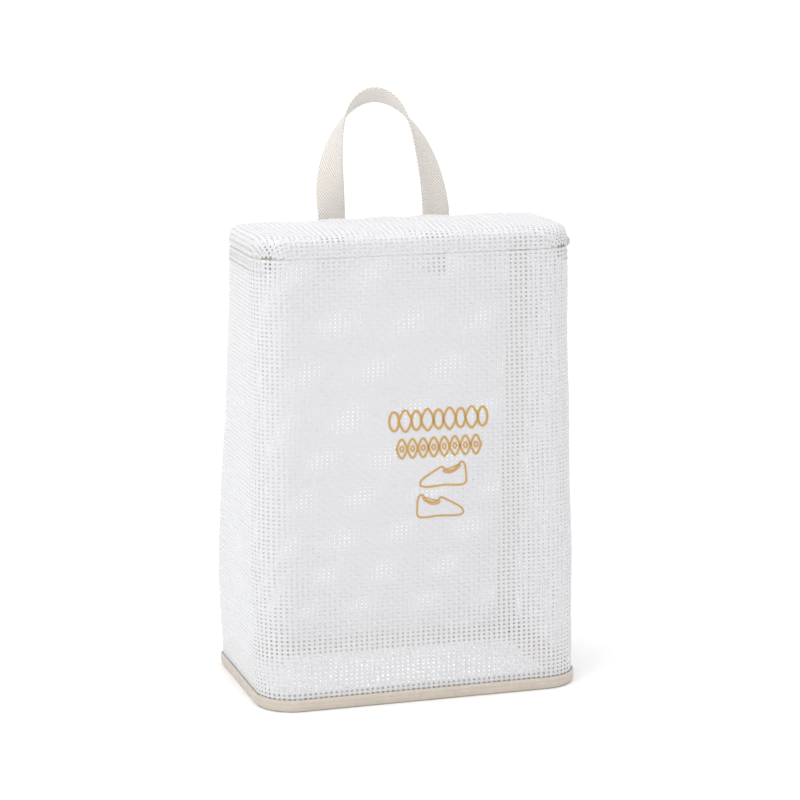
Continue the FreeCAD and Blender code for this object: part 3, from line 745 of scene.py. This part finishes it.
def make_zipper():
    """Two tapes, two rows of loops and three rows of thread."""
    around = np.linspace(ZIP_START, ZIP_END, 260)
    low = ((-0.8, -11.1), (-0.8, -2.1), (-1.2, -1.8), (-1.6, -2.3), (-1.7, -7.0), (-1.6, -10.8),
           (-1.3, -11.3))
    high = ((-0.8, 2.1), (-0.8, 6.0), (-1.2, 6.2), (-1.6, 5.9), (-1.6, 2.2), (-1.2, 1.9))
    piece("zip_tape_low", [band(around, low, base=ZIP_Z)], ZIP_TAPE, "bag",
          ("zipper_tape_body",))
    piece("zip_tape_high", [band(around, high, base=ZIP_Z)], ZIP_TAPE, "lid",
          ("zipper_tape_lid",))
    first = ZIP_START + 3 * MM
    loops = teeth(ZIP_Z - COIL_REACH, 1, 0.5, first, ZIP_END)
    piece("zip_loops_low", loops, NYLON, "bag", ("zipper_coil_body",))
    half, front, back = level(ZIP_Z)
    span = back - front - FRONT_RADIUS - BACK_RADIUS
    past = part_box("zipper_slider")[1].y + 0.6 * MM - front - FRONT_RADIUS
    behind = STARTS[5] + past / span * RUNS[5]
    loops = teeth(ZIP_Z + COIL_REACH, -1, 0.0, first, STARTS[5])
    loops += teeth(ZIP_Z + COIL_REACH, -1, 0.0, behind, ZIP_END)
    piece("zip_loops_high", loops, NYLON, "lid", ("zipper_coil_lid",))
    thread = wall_row(ZIP_START, ZIP_END, ZIP_Z - 9.6 * MM, ZIP_THREAD_LIFT)
    thread += wall_row(ZIP_START, ZIP_END, ZIP_Z - 4.6 * MM, ZIP_THREAD_LIFT)
    piece("zip_thread_low", thread, THREAD, "bag")
    thread = wall_row(ZIP_START, ZIP_END, ZIP_Z + 4.4 * MM, ZIP_THREAD_LIFT)
    piece("zip_thread_high", thread, THREAD, "lid")


def make_tabs():
    """Folded patches over the two ends of the zipper."""
    z = np.linspace(ZIP_Z - 8.4 * MM, ZIP_Z + 8.3 * MM, 14)
    for name, middle in (("left", LEFT_TAB), ("right", RIGHT_TAB)):
        rings = []
        for height in z:
            share = (height - z[0]) / (z[-1] - z[0])
            half = (5.6 - 1.3 * share) * MM
            profile = [(-1, -2.05), (-0.4, -2.0), (0.4, -2.0), (1, -2.05), (1, -2.6), (0.4, -2.85),
                       (-0.4, -2.85), (-1, -2.6)]
            rings.append([wall(middle + side * half, height, lift * MM) for side, lift in profile])
        piece(f"zip_tab_{name}", [tube(np.array(rings))], BINDING, "bag",
              (f"zipper_tab_{name}",))
        rows = []
        for across in (-3.4 * MM, 3.4 * MM):
            rows += upright_row(middle + across, ZIP_Z - 7 * MM, ZIP_Z + 6 * MM, -2.87 * MM, -1)
        piece(f"zip_tab_thread_{name}", rows, THREAD, "bag")


# ---------------------------------------------------------------- base
def disc(low, high, lift, ripple):
    """Flat cloth panel shaped like the foot, with a faint waviness."""
    s = np.linspace(0.0, AROUND, 200, endpoint=False)
    edge = wall(s, 0.0, lift)
    middle = edge.mean(axis=0)
    shares = (1.0, 0.985, 0.93, 0.85, 0.75, 0.62, 0.48, 0.32, 0.16, 0.05)
    rings = []
    for height, order in ((high, shares), (low, shares[::-1])):
        for share in order:
            ring = middle + (edge - middle) * share
            wave = ripple * (np.sin(58 * ring[:, 0]) * np.cos(83 * ring[:, 1]) * (1 - share ** 4))
            ring[:, 2] = height + wave
            rings.append(ring)
    vertices, faces, _ = tube(np.array(rings)[::-1])
    maps = [(vertices[v][0], vertices[v][1]) for face in faces for v in face]
    return vertices, faces, maps


def make_base():
    """Outer base cloth and inner lining; the board between them keeps its hard shape."""
    piece("base_outer", [disc(0.05 * MM, 0.75 * MM, -0.2 * MM, 0.04 * MM)], BASE_CLOTH,
          "bag", ("base_fabric",), soft=False)
    piece("base_inner", [disc(2.6 * MM, 3.05 * MM, -1.3 * MM, 0.07 * MM)], BASE_CLOTH,
          "bag", ("base_lining",), soft=False)


# ---------------------------------------------------------------- handle
STRAP_WIDTH = 20 * MM
STRAP_THICKNESS = 1.6 * MM
LEG_SPAN = 39 * MM
SEWN_LOW = ZIP_Z - 30 * MM
LOOP_FOOT = FOLD_Z + 1 * MM
LOOP_RISE = 83 * MM
LOOP_SKEW = 8 * MM
TWIST = (118.0, 12.0, -8.0)
STRAP_GAP = 0.6 * MM


def strap_section(centre, across, normal):
    """Rounded oblong with faint lengthwise ridges."""
    half, thick = STRAP_WIDTH / 2, STRAP_THICKNESS / 2
    outline = ((-1, 0), (-0.96, 0.75), (-0.8, 1.0), (-0.4, 0.93), (0, 1.0), (0.4, 0.93), (0.8, 1.0),
               (0.96, 0.75), (1, 0), (0.96, -0.75), (0.8, -1.0), (0.4, -0.93), (0, -1.0), (-0.4, -0.93),
               (-0.8, -1.0), (-0.96, -0.75))
    return [centre + across * a * half + normal * b * thick for a, b in outline]


def sewn_end(side, heights):
    """Sections of the webbing where it is sewn to the back."""
    x = side * LEG_SPAN
    sections = []
    for z in heights:
        y = max(level(z)[2] + STRAP_GAP + STRAP_THICKNESS / 2, FOLD_Y - STRAP_THICKNESS / 2)
        sections.append(strap_section(np.array([x, y, z]), np.array([side, 0.0, 0.0]),
                                      np.array([0.0, -1.0, 0.0])))
    return sections


def loop_sections():
    """Sections of the free loop, which twists as it comes over."""
    sections = []
    for turn in np.linspace(0.0, math.pi, 90):
        sine, cosine = math.sin(turn), math.cos(turn)
        centre = np.array([-LEG_SPAN * cosine - LOOP_SKEW * sine,
                           FOLD_Y - STRAP_THICKNESS / 2, LOOP_FOOT + LOOP_RISE * sine])
        out = np.array([-cosine / LEG_SPAN, 0.0, sine / LOOP_RISE])
        out /= np.linalg.norm(out)
        twist = math.radians(sum(size * math.sin((n + 1) * turn) for n, size in enumerate(TWIST)))
        rear = np.array([0.0, 1.0, 0.0])
        across = out * math.cos(twist) + rear * math.sin(twist)
        normal = out * math.sin(twist) - rear * math.cos(twist)
        sections.append(strap_section(centre, across, normal))
    return sections


def make_handle():
    """One length of webbing, and the boxes of thread that hold it."""
    heights = np.linspace(SEWN_LOW, LOOP_FOOT - 1 * MM, 16)
    sections = sewn_end(-1, heights) + loop_sections() + sewn_end(1, heights)[::-1]
    strap = piece("handle_webbing", [tube(np.array(sections))], WEBBING, None,
                  ("handle_end_left", "handle_end_right", "handle_loop"), soft=False, sharp=60)
    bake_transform(strap)
    parts = []
    for side in (-1, 1):
        parts += box_stitches(side * LEG_SPAN)
    piece("handle_thread", parts, THREAD, "bag", ("handle_stitching",), soft=False)


def box_stitches(x):
    """A square of stitches with a cross in it."""
    half = 7.5 * MM
    middle = SEWN_LOW + 2.5 * MM + half
    corners = [(-half, -half), (half, -half), (half, half), (-half, half)]
    lines = [(corners[k], corners[(k + 1) % 4]) for k in range(4)]
    lines += [(corners[0], corners[2]), (corners[1], corners[3])]
    parts = []
    for (x0, z0), (x1, z1) in lines:
        length = math.hypot(x1 - x0, z1 - z0)
        count = int(length / STITCH_PITCH)
        share = (np.arange(count) + 0.5) / count
        px, pz = x + x0 + (x1 - x0) * share, middle + z0 + (z1 - z0) * share
        py = level(pz)[2] + STRAP_GAP + STRAP_THICKNESS
        centres = np.stack([px, py, pz], axis=-1)
        ahead = np.broadcast_to(np.array([x1 - x0, 0.0, z1 - z0]), centres.shape)
        rear = np.broadcast_to(np.array([0.0, 1.0, 0.0]), centres.shape)
        parts += stitches(centres, ahead, rear)
    return parts


# ---------------------------------------------------------------- printed ornament
PRINT_X = 11.0 * MM
RINGS_Z = 200.2
BRAID_Z = 180.8
INK_LIFT = (-0.30 * MM, -0.12 * MM)


def ribbon(points, width, closed):
    """Flat ink line along (x, z) points in millimetres on the front."""
    path = np.array(points, float) * MM
    if closed:
        ahead = np.roll(path, -1, axis=0) - np.roll(path, 1, axis=0)
    else:
        ahead = np.gradient(path, axis=0)
    ahead /= np.linalg.norm(ahead, axis=1, keepdims=True)
    side = np.stack([-ahead[:, 1], ahead[:, 0]], axis=1) * width * MM / 2
    rings = []
    for spot, out in zip(path, side):
        ring = []
        for way, lift in ((1, 0), (1, 1), (-1, 1), (-1, 0)):
            x, z = spot + way * out
            ring.append((x, level(z)[1] - INK_LIFT[lift], z))
        rings.append(ring)
    return tube(np.array(rings), closed)


def ellipse(x, z, wide, high, count=36):
    """Points round an oval."""
    turns = np.arange(count) * 2 * math.pi / count
    return [(x + wide * math.cos(t), z + high * math.sin(t)) for t in turns]


def curve(points, steps=10):
    """Smooth closed line through the points."""
    knots = np.array(points, float)
    line = []
    for k in range(len(knots)):
        p0, p1, p2, p3 = (knots[(k + n - 1) % len(knots)] for n in range(4))
        for t in np.arange(steps) / steps:
            line.append(0.5 * (2 * p1 + (p2 - p0) * t + (2 * p0 - 5 * p1 + 4 * p2 - p3) * t * t
                               + (3 * p1 - p0 - 3 * p2 + p3) * t ** 3))
    return line


SHOE = ((0, 1), (-0.6, 6), (0.4, 12), (3.2, 13.2), (7.5, 9.6), (13, 8.6), (17, 11.2), (21, 9.8), (27, 7),
        (32, 4.2), (33, 1.2), (28, 0), (14, 0.5), (6, 0))
SHOE_MOUTH = ((3.6, 11.2), (8.0, 8.2), (13.2, 7.4), (16.2, 9.0), (11, 10.2), (6, 11.6))


def make_print():
    """Generic ornament: rings and lozenges, a braid, and a pair of plain flat shoes."""
    parts = []
    middle = PRINT_X / MM
    for number in range(9):
        x = middle - 32.4 + number * 8.1
        tips = [(x - 4.4, RINGS_Z), (x, RINGS_Z - 7.6), (x + 4.4, RINGS_Z), (x, RINGS_Z + 7.6)]
        if number % 2:
            parts.append(ribbon(curve(tips, 9), 1.6, True))
        else:
            parts.append(ribbon(ellipse(x, RINGS_Z, 3.4, 6.6), 1.7, True))
    for phase in (0.0, math.pi):
        turns = np.linspace(0, 8 * math.pi, 150)
        line = [(middle - 31 + 62 * t / turns[-1], BRAID_Z + 6.6 * math.sin(t + phase)) for t in turns]
        parts.append(ribbon(line, 1.6, False))
    for number in range(8):
        x = middle - 27.1 + number * 7.75
        parts.append(ribbon(ellipse(x, BRAID_Z, 1.3, 1.8, 12), 1.3, True))
    for x, z, way in ((-5.0, 131.5, 1), (30.0, 153.0, -1)):
        for outline, width in ((SHOE, 1.3), (SHOE_MOUTH, 0.9)):
            parts.append(ribbon(curve([(x + way * a, z + b * 1.2) for a, b in outline]), width, True))
    piece("printed_ornament", parts, INK, "bag")


# ---------------------------------------------------------------- carried-over nodes
def paint(node, material):
    """Gives a carried-over hard node its material."""
    thing = frame["nodes"][node]
    thing.data.materials.clear()
    thing.data.materials.append(material)


def make_hard_parts():
    """The pieces whose modelled shape is already their final one."""
    paint("base_board", BOARD)
    paint("zipper_stop_left", NYLON)
    paint("zipper_stop_right", NYLON)
    paint("zipper_slider", ENAMEL)
    paint("zipper_pull", ENAMEL)


# ---------------------------------------------------------------- studio
CAMERA_TURN = -17.18
CAMERA_AWAY = 1.913
CAMERA_HIGH = 0.600
CAMERA_TILT = 11.73
CAMERA_ROLL = 0.09
CAMERA_SHIFT = 0.0015
LENS = 123.25
SENSOR = 36.0
BACKDROP_STRENGTH = 1.05
WORLD_STRENGTH = 0.74
KEY_POWER = 9.0
OVERHEAD_STRENGTH = 1.35
OVERHEAD_SPREAD = 70.0
INSIDE_POWER = 0.14
BASE_POWER = 0.02
BASE_SPREAD = 30.0


def make_floor():
    """Plain pale floor."""
    bpy.ops.mesh.primitive_plane_add(size=12.0, location=(0.0, 0.0, -0.0002))
    floor = bpy.context.object
    floor.name = "floor"
    material, nodes, links, shader = start_material("white_floor", (0.93, 0.93, 0.93), 0.9)
    shader.inputs["Specular IOR Level"].default_value = 0.1
    floor.data.materials.append(material)


def make_light(name, place_at, aim, size, power):
    """Rectangular lamp facing the point it is aimed at."""
    data = bpy.data.lights.new(name, "AREA")
    data.shape = "RECTANGLE"
    data.size, data.size_y = size
    data.energy = power
    light = bpy.data.objects.new(name, data)
    light.location = place_at
    light.rotation_mode = "QUATERNION"
    light.rotation_quaternion = (Vector(aim) - Vector(place_at)).to_track_quat("-Z", "Y")
    bpy.context.scene.collection.objects.link(light)
    return light


def make_overhead():
    """Broad, even light from above."""
    data = bpy.data.lights.new("overhead", "SUN")
    data.energy = OVERHEAD_STRENGTH
    data.angle = math.radians(OVERHEAD_SPREAD)
    bpy.context.scene.collection.objects.link(bpy.data.objects.new("overhead", data))


def make_camera():
    """Camera in front of the bag, a little to its left and above it."""
    turn, tilt, roll = (math.radians(a) for a in (CAMERA_TURN, CAMERA_TILT, CAMERA_ROLL))
    position = Vector((CAMERA_AWAY * math.sin(turn), -CAMERA_AWAY * math.cos(turn), CAMERA_HIGH))
    ahead = Vector((-math.sin(turn) * math.cos(tilt), math.cos(turn) * math.cos(tilt), -math.sin(tilt)))
    level_right = Vector((math.cos(turn), math.sin(turn), 0.0))
    level_up = level_right.cross(ahead)
    right = math.cos(roll) * level_right + math.sin(roll) * level_up
    up = -math.sin(roll) * level_right + math.cos(roll) * level_up
    data = bpy.data.cameras.new("camera")
    data.lens = LENS
    data.sensor_width = SENSOR
    data.shift_x = CAMERA_SHIFT
    camera = bpy.data.objects.new("camera", data)
    axes = Matrix((right, up, -ahead)).transposed().to_4x4()
    camera.matrix_world = Matrix.Translation(position) @ axes
    bpy.context.scene.collection.objects.link(camera)
    bpy.context.scene.camera = camera


def make_world():
    """White backdrop, a little brighter than the light it gives."""
    world = bpy.data.worlds.new("studio")
    world.use_nodes = True
    nodes, links = world.node_tree.nodes, world.node_tree.links
    background = nodes["Background"]
    background.inputs["Color"].default_value = (1.0, 1.0, 1.0, 1.0)
    path = nodes.new("ShaderNodeLightPath")
    strength = nodes.new("ShaderNodeMapRange")
    strength.inputs["To Min"].default_value = WORLD_STRENGTH
    strength.inputs["To Max"].default_value = BACKDROP_STRENGTH
    links.new(path.outputs["Is Camera Ray"], strength.inputs["Value"])
    links.new(strength.outputs["Result"], background.inputs["Strength"])
    bpy.context.scene.world = world


def make_studio():
    """Backdrop, floor, lamps and camera; two weak lamps inside the bag brighten its lining."""
    bpy.context.scene.view_settings.view_transform = "Standard"
    make_world()
    make_floor()
    make_light("key", (-1.3, -0.9, 1.3), (0.0, 0.0, 0.2), (1.0, 1.0), KEY_POWER)
    make_overhead()
    inside = make_light("inside_fill", (0.0, -0.042, 0.165), (0.0, 0.04, 0.165), (0.20, 0.29), INSIDE_POWER)
    below = make_light("base_fill", (0.0, -0.005, 0.305), (0.0, -0.005, 0.0), (0.19, 0.07), BASE_POWER)
    below.data.spread = math.radians(BASE_SPREAD)
    inside.visible_camera = False
    below.visible_camera = False
    make_camera()


make_walls()
make_lid()
make_foot_tapes()
make_back_bindings()
make_lid_strips()
make_zipper()
make_tabs()
make_base()
make_handle()
make_print()
make_hard_parts()
make_studio()
